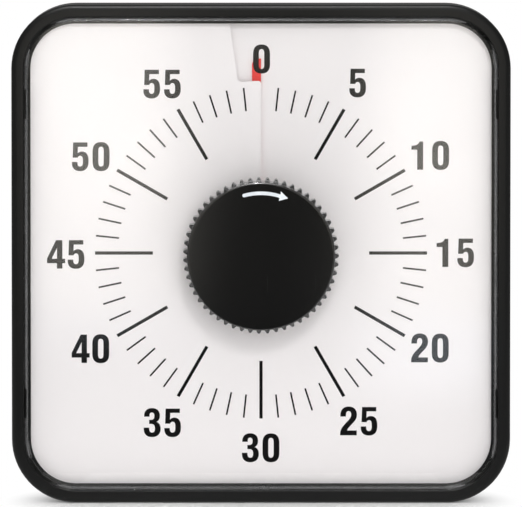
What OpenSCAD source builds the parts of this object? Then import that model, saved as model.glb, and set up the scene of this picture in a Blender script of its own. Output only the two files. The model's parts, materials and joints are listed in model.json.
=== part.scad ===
// A square wind-up timer that shows the time left as a red sector.
// Millimetres. +Z is up and the dial looks towards -Y. The origin is on the surface
// that the timer stands on, under the middle of its overall depth.
// Depths are counted from the front face of the case towards its back.

/* [Case] */
// Width and height of the square case
case_w = 190.5; // [189:0.5:192]
// Depth of the case without the knob
case_depth = 30; // [30:0.5:32]
// Outer radius of the case corners
corner_r = 24.4; // [24:0.1:25]
// Width of the matte border round the clear cover
border_w = 4.7; // [4.5:0.1:4.9]
// Distance from the dial's centre to the edge of the visible dial
window_half = 88; // [87.6:0.1:88.2]
// Wall thickness of the front frame and the rear cover
wall = 2.4; // [2.2:0.1:2.5]
// Depth at which the rear cover meets the front frame
split_depth = 20; // [19:0.5:21]
// Rounding of the case's outer edges
edge_r = 2.2; // [1:0.1:2.4]

/* [Clear cover] */
// Thickness of the clear cover at its window
cover_t = 2; // [1.6:0.1:2.2]
// Rounding of the cover's front edge
cover_edge_r = 0.6; // [0.3:0.1:0.7]
// Height of a locating slot in the cover's edge
slot_h = 11.2; // [8:0.2:14]
// Width of a locating slot
slot_w = 0.8; // [0.6:0.1:1]
// Distance of a locating slot's middle above or below the dial's centre
slot_z = 57.2; // [50:0.2:60]

/* [Dial] */
// Depth of the dial's middle plane
dial_depth = 6.4; // [6.3:0.1:6.5]
// Rise of the slit dial over one turn, which is also the disc's travel
dial_rise = 2.2; // [2:0.1:2.3]
// Thickness of the white dial
dial_t = 0.5; // [0.4:0.1:0.6]
// Radius of the hole in the middle of the dial
dial_hole_r = 12; // [10:0.5:14]
// Distance from the centre to the lower edge of the notch at 12 o'clock
notch_r = 66; // [65:0.5:68]
// Width of the notch, in degrees left of 12 o'clock
notch_deg = 7.7; // [6:0.1:8]
// Radius of the red disc
disc_r = 63.7; // [60:0.1:64.5]
// Thickness of the red disc
disc_t = 0.4; // [0.3:0.05:0.5]
// Distance from the centre to the tip of the red pointer
pointer_r = 74.5; // [70:0.5:78]
// Width of the red pointer
pointer_w = 3.4; // [2.5:0.1:4.5]

/* [Knob] */
// Distance from the front of the case to the knob's face
knob_out = 15; // [13:0.5:17]
// Radius of the knob between its ribs
knob_r = 28.2; // [26:0.1:30]
// Height of a rib on the knob
rib_h = 1.4; // [1:0.1:2]
// Number of ribs round the knob
rib_count = 55; // [40:1:60]
// Width of a rib at its root
rib_w = 2.2; // [2:0.1:2.6]
// Distance from the knob's face to the front end of its ribs
rib_setback = 2.8; // [2:0.1:4]
// Gap between the knob and the clear cover
knob_gap = 1; // [0.6:0.1:1.5]

/* [Movement] */
// Radius of the main arbor
arbor_r = 2.5; // [2.4:0.05:2.6]
// Distance from the main arbor's axis to its flat
arbor_flat = 1.8; // [1.6:0.05:2]
// Radial clearance of a shaft in its hole
running_gap = 0.05; // [0.03:0.01:0.08]
// Depth of the movement's front plate
plate_depth = 12; // [11.9:0.05:12.1]
// Space between the two plates
plate_space = 11.4; // [11.3:0.05:11.6]
// Thickness of a plate
plate_t = 0.8; // [0.7:0.05:0.9]
// Turns of the mainspring
spring_turns = 8; // [6:1:9]
// Radius of the bell
bell_r = 19; // [17:0.5:19.5]

/* [Back] */
// Radius of a magnet
magnet_r = 9; // [7:0.5:9.5]
// Thickness of a magnet
magnet_t = 3; // [2:0.5:3]
// Length of a fold-out foot from its pin to its tip
foot_len = 42; // [36:1:44]
// Height of a fold-out foot
foot_h = 10; // [8:0.5:12]
// Thickness of a fold-out foot
foot_t = 4; // [3.5:0.1:4.2]
// Distance of a foot's pin from the middle of the case
foot_x = 58; // [54:1:60]

/* [Hidden] */
$fn = 96;

// Case
front_y = (knob_out - case_depth) / 2; // where the front face of the case lies
mid_z = case_w / 2;
half = case_w / 2;
arc = half - corner_r;                 // centre of each corner's arc
inner_u = corner_r - wall;             // distances from that arc, at the wall's inner face,
ledge_u = corner_r - border_w;         // at the border's inner edge
window_u = corner_r - (half - window_half); // and at the window's edge
ledge_d = 2.4;                         // depth of the ledge that carries the cover
ledge_back = 4;                        // depth of the ledge's back
lip_h = 1.4;                           // height of the lip between the two halves
lip_t = 0.8;
lip_gap = 0.1;
floor_d = case_depth - 2;              // inner face of the back wall

// Corner screws, on the diagonals, and panel screws, in the middle of each side
boss_u = 20.3;
boss_r = 2.3;
boss_at = arc * sqrt(2) + boss_u;
screw_r = 1;
head_r = 2;
side_boss = 90.8;
side_boss_r = 2.2;

// Clear cover
cover_gap = 0.2;
cover_u = ledge_u - cover_gap;
cover_front = ledge_d - cover_t;       // depth of the cover's front face
flange_front = 1.3;                    // depth of the lower step round its edge
plateau_u = 18.7;                      // where that step begins
cover_hole_r = 10;
slot_x = half - border_w - 0.55;       // middle of the locating slots
tongue_gap = 0.12;                      // the frame's tongues stand in them with this clearance

// Dial
dial_half = 90.6;
dial_corner = 24.5;
panel_d = 9.4;                         // front face of the panel that carries the movement
panel_t = 1.6;
panel_half = 92.4;
seat_half = 87.6;                      // inner edge of the ring under the dial
seat_corner = 22;
overlap_deg = 9;                       // how far the dial runs on under its own free edge
side_notch = 88.25;                    // the dial's edge beside a side boss

// Movement, seen from the front, about the dial's centre
back_plate_d = plate_depth + plate_t + plate_space;
great_teeth = 60;                      // tooth counts and modules belong to the centre distances below
second_teeth = 64;
third_teeth = 56;
pinion_leaves = 8;
escape_leaves = 7;
escape_teeth = 18;
escape_r = 6;
great_m = 0.5;
second_m = 0.4;
third_m = 0.35;
second_at = 17 * [cos(210), sin(210)];
third_at = second_at + 14.4 * [cos(-40), sin(-40)];
escape_at = third_at + 11.025 * [cos(-20), sin(-20)];
pallet_reach = 8.6;
pallet_at = escape_at + [pallet_reach, 0];
hammer_at = [20, 6];
bell_at = [36 + bell_r, 0];
post_at = 14.2 * [cos(120), sin(120)];
pillars_at = [[-26, 15], [21.5, 15], [-26, -28], [23, -29.5]];
ears_at = [[-33.5, -7.25], [30.5, -7.25], [-1.5, 22.5], [-1.5, -37]];
plate_mid = [-1.5, -7.25];
plate_size = [57, 52.5];
pivot_r = 0.6;                         // radius of the thin arbors
bore_r = pivot_r + 0.02;               // bore of what sits fast on them
wheel_t = 0.8;
great_d = 13.5;                        // depths at which the wheels stand
ratchet_d = 14.7;
balance_d = 15;
second_d = 16;
spring_d = 17.3;
escape_d = 20;
cam_d = 22.4;
third_d = 22.4;
pin_r = 0.35;
pin_orbit = escape_r + pin_r + 0.4;    // the pallet pins clear the escape wheel's tips
pin_spread = 35;
click_at = 10 * [cos(95), sin(95)];
click_nose = 4.75 * [cos(61.5), sin(61.5)];

// Back
magnets_at = [[-62, 56], [62, 56], [-62, -44], [62, -44]];
hanger_at = [0, 74];
foot_z = 0.4;
foot_d = case_depth - 0.4 - foot_t / 2; // depth of the foot's pin
pin_hole_r = 1.3;
pocket_d = foot_d - foot_t / 2 - 0.4;  // front wall of a foot's pocket
pocket_end = foot_t / 2 + 0.8;         // its end, beyond the pin
pocket_top = foot_z + foot_h + 0.5;

// ---------------------------------------------------------------- helpers

// Children drawn as seen from the front, at a depth; their +Z points at the viewer
module facing(depth = 0) translate([0, front_y + depth, mid_z]) rotate([90, 0, 0]) children();

// A front-view outline, extruded from depth d0 back to depth d1
module layer(d0, d1) facing(d1) linear_extrude(d1 - d0) children();

// A round bar between two depths
module bar(r, d0, d1, at = [0, 0]) layer(d0, d1) translate(at) circle(r);

// A box given by its left, right, front depth, back depth, bottom and top
module block(x0, x1, d0, d1, z0, z1)
    translate([x0, front_y + d0, z0]) cube([x1 - x0, d1 - d0, z1 - z0]);

// A square with rounded corners
module rounded_square(h, r) {
    square([2 * h, 2 * (h - r)], center = true);
    square([2 * (h - r), 2 * h], center = true);
    for (x = [-1, 1], y = [-1, 1]) translate([x, y] * (h - r)) circle(r);
}

module rounded_rect(size, r) {
    square([size[0], size[1] - 2 * r], center = true);
    square([size[0] - 2 * r, size[1]], center = true);
    for (x = [-1, 1], y = [-1, 1]) translate([x * (size[0] / 2 - r), y * (size[1] / 2 - r)]) circle(r);
}

// A wall profile led round the case: x counts outwards from a corner's arc, y is minus the depth
module round_case() facing() for (q = [0:3]) rotate(90 * q) {
    translate([arc, arc]) rotate_extrude(angle = 90) children();
    translate([0, arc, 0]) rotate([90, 0, 90]) linear_extrude(2 * arc, center = true) children();
}

// An arc from one angle to another, as points
function arc_points(centre, r, from, to, steps = 6) =
    [for (i = [0:steps]) let (a = from + (to - from) * i / steps) centre + r * [cos(a), sin(a)]];

// Circles of radius $r at the corner screws and at the side screws, as seen from the front
module at_corners() for (a = [45:90:315]) rotate(a) translate([boss_at, 0]) circle(r = $r);
module at_sides() for (a = [0:90:270]) rotate(a) translate([side_boss, 0]) circle(r = $r);

// A straight link with round ends, between two points
module link(a, b, w) {
    v = b - a;
    translate(a) rotate(atan2(v[1], v[0])) translate([0, -w / 2]) square([norm(v), w]);
    for (p = [a, b]) translate(p) circle(w / 2);
}

// Round arbor section with a flat above its axis
module d_outline(r, flat) intersection() {
    circle(r);
    translate([-2 * r, -2 * r]) square([4 * r, 2 * r + flat]);
}

// Outline of a wheel or pinion: [height in modules, half width in pitches] up one flank
wheel_flank = [[-1.3, 0.25], [0, 0.21], [0.6, 0.17], [1, 0.07]];
leaf_flank = [[-1.5, 0.11], [0, 0.17], [0.45, 0.14], [0.75, 0.06]];

function toothed(teeth, m, flank, start = 0) =
    let (n = len(flank), r = teeth * m / 2, pitch = 360 / teeth)
    [for (t = [0:teeth - 1], i = [0:2 * n - 1])
        let (up = i < n, f = flank[up ? i : 2 * n - 1 - i],
             a = start + pitch * (t + (up ? -f[1] : f[1])))
        (r + f[0] * m) * [cos(a), sin(a)]];

// Angle seen from the centre towards a point
function towards(v) = atan2(v[1], v[0]);

// A wheel's outline with a tooth at angle tooth_deg, lightened by round holes
module wheel_outline(teeth, m, tooth_deg, bore, hole_r, hole_at) difference() {
    polygon(toothed(teeth, m, wheel_flank, tooth_deg));
    circle(bore);
    for (a = [0:72:288]) rotate(a) translate([hole_at, 0]) circle(hole_r);
}

// A pinion's outline with a gap at angle gap_deg
module pinion_outline(leaves, m, gap_deg, bore) difference() {
    polygon(toothed(leaves, m, leaf_flank, gap_deg + 180 / leaves));
    circle(bore);
}

// Distance from the centre to a rounded square's edge, at a clock angle
function square_reach(clock, h, r) =
    let (t = abs((clock + 405) % 90 - 45), c = h - r)
    h * tan(t) <= c ? h / cos(t) : c * (cos(t) + sin(t)) + sqrt(r * r - c * c * (1 - sin(2 * t)));

// The dial's outer edge, drawn in beside the bosses in the middle of each side
function dial_edge(clock) =
    let (t = abs((clock + 405) % 90 - 45))
    t < 1.75 ? side_notch / cos(t) : square_reach(clock, dial_half, dial_corner);

// Clock angles every 3 degrees with the side bosses' notches, from one angle to another
function clock_steps(from, to) =
    [for (q = [-90:90:360], a = [q, q + 1.6, q + 1.9, each [for (k = [3:3:87]) q + k], q + 88.1, q + 88.4])
        if (a >= from && a <= to) a];

// Height of the slit dial over its middle plane, towards the viewer
function dial_lift(clock) = dial_rise * (clock / 360 - 0.5);

// A thin ruled strip round the centre: rows are [clock angle, inner r, outer r, lower z, upper z]
module ruled_strip(rows) {
    last = len(rows) - 1;
    points = [for (w = rows) let (s = sin(w[0]), c = cos(w[0]))
        each [[w[1] * s, w[1] * c, w[3]], [w[2] * s, w[2] * c, w[3]],
              [w[2] * s, w[2] * c, w[4]], [w[1] * s, w[1] * c, w[4]]]];
    faces = [
        [0, 1, 2], [0, 2, 3],
        [4 * last + 2, 4 * last + 1, 4 * last], [4 * last + 3, 4 * last + 2, 4 * last],
        for (i = [0:last - 1], e = [0:3])
            let (a = 4 * i + e, b = 4 * i + (e + 1) % 4)
            each [[a, a + 4, b], [b, a + 4, b + 4]]];
    polyhedron(points, faces);
}

// ---------------------------------------------------------------- case

module front_frame() color([0.13, 0.13, 0.14]) difference() {
    union() {
        round_case() polygon([
            each arc_points([corner_r - edge_r, -edge_r], edge_r, 0, 90),
            each arc_points([ledge_u + 0.4, -0.4], 0.4, 90, 180, 3),
            [ledge_u, -ledge_d], [window_u, -ledge_d], [window_u, -ledge_back],
            [inner_u, -ledge_back], [inner_u, lip_h - split_depth],
            [inner_u + lip_t, lip_h - split_depth], [inner_u + lip_t, -split_depth],
            [corner_r, -split_depth],
        ]);
        intersection() {
            layer(ledge_back, split_depth - lip_h - lip_gap) at_corners($r = boss_r);
            layer(ledge_back, split_depth) rounded_square(half - wall / 2, corner_r - wall / 2);
        }
        layer(ledge_back, panel_d) at_sides($r = side_boss_r);
        // tongues that locate the cover
        for (side = [0, 1], z = [-1, 1]) mirror([side, 0, 0])
            layer(flange_front + 0.2, ledge_d + 0.5) translate([slot_x - slot_w / 2 + tongue_gap, z * slot_z])
                translate([0, tongue_gap - slot_h / 2]) square([slot_w, slot_h - 2 * tongue_gap]);
    }
    layer(6, split_depth + 1) at_corners($r = screw_r + 0.02);
    layer(ledge_back + 0.6, panel_d + 1) at_sides($r = 0.82);
}

module rear_cover() color([0.13, 0.13, 0.14]) difference() {
    union() {
        round_case() polygon([
            [inner_u, lip_h - lip_gap - split_depth],
            [inner_u + lip_t - lip_gap, lip_h - lip_gap - split_depth],
            [inner_u + lip_t - lip_gap, -split_depth], [corner_r, -split_depth],
            each arc_points([corner_r - edge_r, edge_r - case_depth], edge_r, 0, -90),
            [inner_u - 1, -case_depth], [inner_u - 1, -floor_d], [inner_u, -floor_d],
        ]);
        layer(floor_d, case_depth) rounded_square(half - wall - 0.5, inner_u - 0.5);
        intersection() {
            layer(split_depth - lip_h, floor_d + 1) at_corners($r = boss_r + 1.3);
            layer(0, case_depth) rounded_square(half - wall + lip_t / 2, inner_u + lip_t / 2);
        }
        for (at = magnets_at) bar(magnet_r + 2, case_depth - magnet_t - 1.6, floor_d + 1, at);
        // shells of the feet's pockets
        for (side = [0, 1]) mirror([side, 0, 0]) block(foot_x - foot_len - 4, foot_x + pocket_end + 1.6,
            pocket_d - 1.5, floor_d + 1, 1, pocket_top + 5.6);
    }
    layer(split_depth - lip_h - 1, case_depth + 1) at_corners($r = screw_r + 0.2);
    layer(23, case_depth + 1) at_corners($r = head_r + 0.15);
    for (at = magnets_at) bar(magnet_r + 0.05, case_depth - magnet_t - 0.2, case_depth + 1, at);
    // keyhole for a screw head
    layer(floor_d - 1, case_depth + 1) translate(hanger_at) {
        circle(4.5);
        link([0, 0], [0, 8], 4.6);
    }
    // slots behind the bell
    for (i = [-3:3]) layer(floor_d - 1, case_depth + 1)
        link(bell_at + [-11, 5 * i], bell_at + [11, 5 * i], 2);
    // pockets and finger notches of the feet
    for (side = [0, 1]) mirror([side, 0, 0]) {
        block(foot_x - foot_len - 1, foot_x + pocket_end, pocket_d, case_depth + 1, -1, pocket_top);
        translate([foot_x - foot_len - 1, front_y + case_depth, foot_z + foot_h / 2])
            sphere(r = 4.4, $fn = 48);
        translate([foot_x, front_y + foot_d, 0]) cylinder(r = pin_hole_r - 0.05, h = pocket_top + 4.1);
    }
}

module clear_cover() color([0.85, 0.9, 0.92, 0.35]) difference() {
    union() {
        layer(cover_front, ledge_d) difference() {
            rounded_square(arc + plateau_u - 1, plateau_u - 1);
            circle(cover_hole_r);
        }
        round_case() polygon([
            [plateau_u - 1.5, -ledge_d], [plateau_u - 1.5, -cover_front],
            each arc_points([plateau_u - cover_edge_r, -cover_front - cover_edge_r], cover_edge_r, 90, 0, 4),
            [plateau_u, -flange_front], [cover_u - 0.3, -flange_front],
            [cover_u, -flange_front - 0.3], [cover_u, -ledge_d],
        ]);
    }
    for (side = [0, 1], z = [-1, 1]) mirror([side, 0, 0]) layer(0, ledge_d + 0.1)
        translate([slot_x - slot_w / 2, z * slot_z - slot_h / 2]) square([slot_w + 1, slot_h]);
}

// ---------------------------------------------------------------- dial

// Lower edge of the notch, rounded where it meets the notch's side and the slit
function notch_edge(clock) =
    let (from_side = (clock - 360 + notch_deg) * notch_r * PI / 180,
         from_slit = (360 - clock) * notch_r * PI / 180,
         side_r = 1.6, slit_r = 1)
    from_side < side_r ? notch_r + side_r - sqrt(side_r ^ 2 - (side_r - from_side) ^ 2)
    : from_slit < slit_r ? notch_r - slit_r + sqrt(slit_r ^ 2 - (slit_r - from_slit) ^ 2)
    : notch_r;

module dial_face() color([0.95, 0.94, 0.94]) facing(dial_depth) {
    notch_from = 360 - notch_deg;
    steps = concat(
        clock_steps(-overlap_deg, notch_from),
        [notch_from - 0.06],
        [for (i = [0:5]) notch_from + 0.28 * i],
        [for (k = [1:5]) notch_from + 1.4 + 0.9 * k],
        [for (i = [0:4]) 359.2 + 0.2 * i]);
    ruled_strip([for (a = steps) let (z = dial_lift(a))
        [a, dial_hole_r, a < notch_from ? dial_edge(a) : notch_edge(a), z - dial_t / 2, z + dial_t / 2]]);
}

// Sloping ring under the dial's edge, which gives the dial its rise
module dial_seat() color([0.9, 0.9, 0.9]) facing(dial_depth)
    ruled_strip([for (a = clock_steps(-overlap_deg, 350.5))
        [a, square_reach(a, seat_half, seat_corner), dial_edge(a), dial_depth - panel_d,
         dial_lift(a) - dial_t / 2 - 0.02]]);

module dial_panel() color([0.9, 0.9, 0.9]) difference() {
    union() {
        layer(panel_d, panel_d + panel_t) difference() {
            rounded_square(panel_half, 22);
            at_corners($r = boss_r + 0.4);
        }
        for (at = ears_at) bar(3.2, panel_d + panel_t - 0.5, plate_depth, at);
        bar(4, panel_d + panel_t - 0.5, 13.4, bell_at);
    }
    bar(9, panel_d - 1, panel_d + panel_t + 1);
    layer(panel_d - 1, panel_d + panel_t + 1) at_sides($r = 1);
    for (at = ears_at) bar(1.22, panel_d + 0.5, plate_depth + 1, at);
    bar(1.52, panel_d + 0.5, 14, bell_at);
}

// Red disc: it rises once round, and its leading edge carries the pointer. Inside the pointer that
// edge lies a little back, under the dial's free edge.
lead_back = 358;
pointer_left = 360 - asin(pointer_w / disc_r);           // clock angles of the pointer's left side
pointer_top = 360 - atan2(pointer_w, pointer_r - 2);

function disc_edge(clock) =
    clock < pointer_left - 0.03 ? disc_r
    : clock < pointer_top + 0.01 ? min(pointer_w / sin(360 - clock), pointer_r - 1.9)
    : pointer_r;

module time_disc() color([0.88, 0.12, 0.12]) facing(dial_depth) {
    steps = concat([for (a = [0:3:354]) a], [pointer_left - 0.06, pointer_left],
        [(pointer_left + pointer_top) / 2, pointer_top, lead_back, lead_back + 0.05, 360]);
    ruled_strip([for (a = steps) let (z = dial_rise * (a / 360 - 1))
        [a, a > lead_back ? notch_r - 2 : 7.02, disc_edge(a), z - disc_t / 2, z + disc_t / 2]]);
}

module disc_hub() color([0.88, 0.12, 0.12]) layer(6, 9) difference() {
    circle(7);
    d_outline(arbor_r + running_gap, arbor_flat + running_gap);
}

// ---------------------------------------------------------------- knob

knob_back = cover_front - knob_gap;    // depth of the knob's back edge
knob_front = -knob_out;

module knob_outline() {
    circle(knob_r);
    for (i = [0:rib_count - 1]) rotate(360 * i / rib_count) polygon([
        [knob_r - 1, -rib_w / 2], [knob_r, -rib_w / 2], [knob_r + rib_h - 0.15, -rib_w * 0.2],
        [knob_r + rib_h, -rib_w * 0.1], [knob_r + rib_h, rib_w * 0.1],
        [knob_r + rib_h - 0.15, rib_w * 0.2], [knob_r, rib_w / 2], [knob_r - 1, rib_w / 2]]);
}

module knob() color([0.09, 0.09, 0.1]) difference() {
    union() {
        difference() {
            intersection() {
                layer(knob_front, knob_back) knob_outline();
                facing() rotate_extrude() polygon([
                    [0, -knob_back], [knob_r + rib_h + 1, -knob_back],
                    [knob_r + rib_h + 1, -knob_front - rib_setback - 2],
                    [knob_r + 0.01, -knob_front - rib_setback],
                    each arc_points([knob_r - 0.79, -knob_front - 0.8], 0.8, 0, 90),
                    [0, -knob_front]]);
            }
            bar(knob_r - 2.4, knob_front + 2.6, knob_back + 1);
        }
        bar(6, knob_front + 2, cover_front + 2.2);
        for (a = [0:60:120]) layer(knob_front + 2, knob_back - 3) rotate(a)
            square([2 * knob_r - 3, 1.4], center = true);
    }
    layer(knob_front + 4, cover_front + 3) d_outline(arbor_r + 0.02, arbor_flat + 0.02);
}

module main_arbor() color([0.7, 0.7, 0.72]) {
    layer(knob_front + 4.2, panel_d) d_outline(arbor_r, arbor_flat);
    bar(arbor_r, panel_d, back_plate_d + plate_t + 0.8);
}

module arbor_bushes() color([0.8, 0.62, 0.3]) for (d = [plate_depth - 0.2, back_plate_d - 0.2])
    layer(d, d + plate_t + 0.4) difference() {
        circle(4);
        circle(arbor_r + running_gap);
    }

// ---------------------------------------------------------------- movement

module plate_outline() translate(plate_mid) rounded_rect(plate_size, 4);

module pivot_holes() {
    circle(4.02);
    for (at = [second_at, third_at, escape_at, pallet_at, hammer_at])
        translate(at) circle(pivot_r + running_gap);
}

module front_plate() color([0.72, 0.72, 0.7]) layer(plate_depth, plate_depth + plate_t) difference() {
    union() {
        plate_outline();
        for (at = ears_at) link(at, plate_mid + 0.6 * (at - plate_mid), 7.2);
    }
    pivot_holes();
    for (at = ears_at) translate(at) circle(1.4);
    for (at = pillars_at) translate(at) circle(1.22);
}

module back_plate() color([0.72, 0.72, 0.7]) layer(back_plate_d, back_plate_d + plate_t) difference() {
    plate_outline();
    pivot_holes();
    translate(post_at) circle(0.92);
    for (at = pillars_at) translate(at) circle(1.22);
}

module plate_pillars() color([0.75, 0.75, 0.75]) for (at = pillars_at) {
    bar(1.2, plate_depth, back_plate_d + plate_t + 1.8, at);
    bar(2, plate_depth + plate_t, back_plate_d, at);
}

module plate_nuts() color([0.78, 0.78, 0.76]) for (at = pillars_at)
    layer(back_plate_d + plate_t, back_plate_d + plate_t + 1.6) translate(at) difference() {
        circle(2.3, $fn = 6);
        circle(1.22);
    }

// A screw that points forwards, with a crossed slot in its head
module screw(r, head, tip_d, seat_d, at, head_h = 1.4) difference() {
    union() {
        bar(r, tip_d, seat_d + head_h / 2, at);
        bar(head, seat_d, seat_d + head_h, at);
    }
    for (a = [0, 90]) layer(seat_d + head_h - 0.6, seat_d + head_h + 1) translate(at) rotate(a)
        square([1.4 * head, 0.35 * head], center = true);
}

module movement_screws() color([0.75, 0.75, 0.75]) for (at = ears_at)
    screw(1.2, 2.4, panel_d + 0.8, plate_depth + plate_t, at);

module great_wheel() color([0.9, 0.88, 0.8]) layer(great_d, great_d + 1) difference() {
    polygon(toothed(great_teeth, great_m, wheel_flank, towards(second_at)));
    circle(arbor_r + 0.02);
    for (a = [120:60:360]) translate(10 * [cos(a), sin(a)]) circle(2.6);
    translate(click_at) circle(pivot_r);
}

// Ratchet teeth: a long sloping back and a short steep face that pushes the click
module ratchet_wheel() color([0.72, 0.72, 0.7]) layer(ratchet_d, ratchet_d + 0.8) difference() {
    polygon([for (i = [0:11], k = [[4.2, 0], [5.6, 24], [5.6, 26]])
        k[0] * [cos(30 * i + k[1]), sin(30 * i + k[1])]]);
    circle(arbor_r + 0.02);
}

// The click pivots on the great wheel, and its nose lies in a gap of the ratchet
module click() color([0.72, 0.72, 0.7]) {
    layer(ratchet_d, ratchet_d + 0.8) translate(click_at) rotate(towards(click_nose - click_at)) polygon([
        [-1, -0.6], [-0.6, -1], [1.2, -1], [5, -0.5], [6.3, -0.15], [6.45, 0.1],
        [5, 0.45], [1.2, 1], [-0.6, 1], [-1, 0.6]]);
    bar(pivot_r - running_gap, great_d + 0.2, ratchet_d + 0.4, click_at);
}

// Leaf spring riveted to the great wheel beside the click
module click_spring() color([0.6, 0.62, 0.66]) layer(great_d + 1.02, great_d + 1.8) {
    link([7.4, 8.2], [1.5, 9.3], 0.35);
    translate([7.8, 8.1]) circle(0.9);
}

// A point on the mainspring's spiral, off its middle line; the last step lies at the post
coil_steps = spring_turns * 24;
function coil(i, off) =
    let (a = towards(post_at) + 15 * (i - coil_steps), r = 3.2 + 9.55 * i / coil_steps + off)
    r * [cos(a), sin(a)];

module mainspring() color([0.45, 0.47, 0.52]) layer(spring_d, spring_d + 4.2) {
    strip = 0.4;
    polygon(concat([for (i = [0:coil_steps]) coil(i, strip / 2)],
        [for (i = [coil_steps:-1:0]) coil(i, -strip / 2)]));
    translate(post_at) difference() {
        circle(1.35);
        circle(0.93);
    }
}

module spring_post() color([0.75, 0.75, 0.75]) bar(0.9, spring_d - 0.1, back_plate_d + plate_t, post_at);

// A plastic wheel with its pinion, on a steel arbor through both plates
module train_wheel(at, teeth, m, tooth_deg, wheel_d, pinion_m, gap_deg, pinion_d, hole_r, hole_at)
    color([0.92, 0.9, 0.84]) {
        layer(wheel_d, wheel_d + wheel_t) translate(at)
            wheel_outline(teeth, m, tooth_deg, bore_r, hole_r, hole_at);
        layer(pinion_d, pinion_d + 1.4) translate(at)
            pinion_outline(pinion_leaves, pinion_m, gap_deg, bore_r);
        layer(min(wheel_d, pinion_d), max(wheel_d, pinion_d) + 0.4) translate(at) difference() {
            circle(pinion_m * (pinion_leaves / 2 - 1));
            circle(bore_r);
        }
    }

module second_wheel()
    train_wheel(second_at, second_teeth, second_m, towards(third_at - second_at), second_d,
        great_m, towards(-second_at), great_d - 0.2, 2.6, 8);

module third_wheel()
    train_wheel(third_at, third_teeth, third_m, towards(escape_at - third_at), third_d,
        second_m, towards(second_at - third_at), second_d - 0.3, 1.9, 5.8);

module escape_wheel() color([0.92, 0.9, 0.84]) {
    layer(escape_d, escape_d + wheel_t) translate(escape_at) difference() {
        polygon([for (i = [0:escape_teeth - 1], k = [[0.72, 0], [1, 5], [1, 7], [0.72, 11]])
            k[0] * escape_r * [cos(360 / escape_teeth * i + k[1]), sin(360 / escape_teeth * i + k[1])]]);
        circle(bore_r);
        for (a = [0:72:288]) rotate(a) translate([2.6, 0]) circle(0.8);
    }
    layer(escape_d + 0.4, third_d + 1) translate(escape_at)
        pinion_outline(escape_leaves, third_m, towards(third_at - escape_at), bore_r);
}

module train_arbor(at) color([0.75, 0.75, 0.77])
    bar(pivot_r, plate_depth + 0.1, back_plate_d + plate_t - 0.1, at);

module second_arbor() train_arbor(second_at);
module third_arbor() train_arbor(third_at);
module escape_arbor() train_arbor(escape_at);
module balance_staff() train_arbor(pallet_at);
module hammer_arbor() train_arbor(hammer_at);

// Rocking lever with two pins that stand beside the escape wheel
module pallet_lever() color([0.72, 0.72, 0.7]) {
    pins = [for (s = [-1, 1]) escape_at + pin_orbit * [cos(pin_spread), s * sin(pin_spread)]];
    layer(escape_d + 1.1, escape_d + 1.7) difference() {
        union() {
            for (p = pins) link(pallet_at, p, 1.3);
            translate(pallet_at) circle(1.6);
        }
        translate(pallet_at) circle(bore_r);
    }
    for (p = pins) bar(pin_r, escape_d - 0.1, escape_d + 1.2, p);
}

module balance_wheel() color([0.8, 0.62, 0.3])
    layer(balance_d, balance_d + 1.2) translate(pallet_at) difference() {
        union() {
            difference() {
                circle(7);
                circle(5.5);
            }
            square([12.4, 1.4], center = true);
            circle(1.8);
        }
        circle(bore_r);
    }

// Cam with a notch, which lets the hammer fall when the time is up
module trip_cam() color([0.92, 0.9, 0.84]) layer(cam_d, cam_d + 0.8) difference() {
    circle(4.4);
    circle(arbor_r + 0.02);
    rotate(80) translate([3.4, -0.8]) square([2, 1.6]);
}

module hammer() color([0.72, 0.72, 0.7]) {
    head_at = bell_at - [bell_r + 2.1, 0];
    layer(cam_d, cam_d + 0.8) difference() {
        union() {
            link(hammer_at, head_at, 1.6);
            link(hammer_at, [0.8, 5.9], 1.6);
            translate(hammer_at) circle(2.2);
        }
        translate(hammer_at) circle(bore_r);
    }
    bar(1.6, cam_d - 2, cam_d + 1.2, head_at);
}

// Leaf spring held by a pillar, which presses the hammer towards the bell
module hammer_spring() color([0.6, 0.62, 0.66]) {
    layer(cam_d - 0.8, cam_d - 0.1) translate(pillars_at[1]) difference() {
        circle(2.8);
        circle(2.02);
    }
    layer(cam_d - 0.8, cam_d + 0.6) link(pillars_at[1] + [-2.5, -0.3], [9, 8.2], 0.35);
}

module bell() color([0.78, 0.78, 0.76]) facing() translate(bell_at) rotate_extrude() polygon([
    [1.6, -13.4], [1.6, -14.3],
    each arc_points([bell_r - 6.6, -20], 5.7, 90, 0), [bell_r - 0.9, -23.6],
    [bell_r, -23.6], each arc_points([bell_r - 6.6, -20], 6.6, 0, 90)]);

module bell_screw() color([0.75, 0.75, 0.75]) screw(1.5, 3.2, panel_d + 0.8, 14.3, bell_at, 2);

module panel_screws() color([0.75, 0.75, 0.75]) for (a = [0:90:270])
    screw(0.8, 1.8, ledge_back + 1.2, panel_d + panel_t, side_boss * [cos(a), sin(a)], 1.2);

// ---------------------------------------------------------------- back

module case_screws() color([0.3, 0.3, 0.32]) for (a = [45:90:315])
    screw(screw_r, head_r, 8, 23, boss_at * [cos(a), sin(a)], 1.6);

module magnets() color([0.6, 0.6, 0.62]) for (at = magnets_at)
    bar(magnet_r, case_depth - magnet_t - 0.1, case_depth - 0.1, at);

// Flat foot with a round eye on an upright pin, folded towards the middle of the case
module foot() color([0.13, 0.13, 0.14]) translate([foot_x, front_y + foot_d, foot_z]) difference() {
    union() {
        cylinder(r = foot_t / 2, h = foot_h);
        translate([-foot_len, -foot_t / 2, 0]) cube([foot_len, foot_t, foot_h]);
    }
    translate([0, 0, -1]) cylinder(r = pin_hole_r, h = foot_h + 2);
}

module left_foot() mirror([1, 0, 0]) foot();
module right_foot() foot();

module foot_pins() color([0.75, 0.75, 0.77]) for (x = [-foot_x, foot_x])
    translate([x, front_y + foot_d, foot_z + 0.3])
        cylinder(r = pin_hole_r - 0.07, h = foot_h + 3.6);

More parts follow.
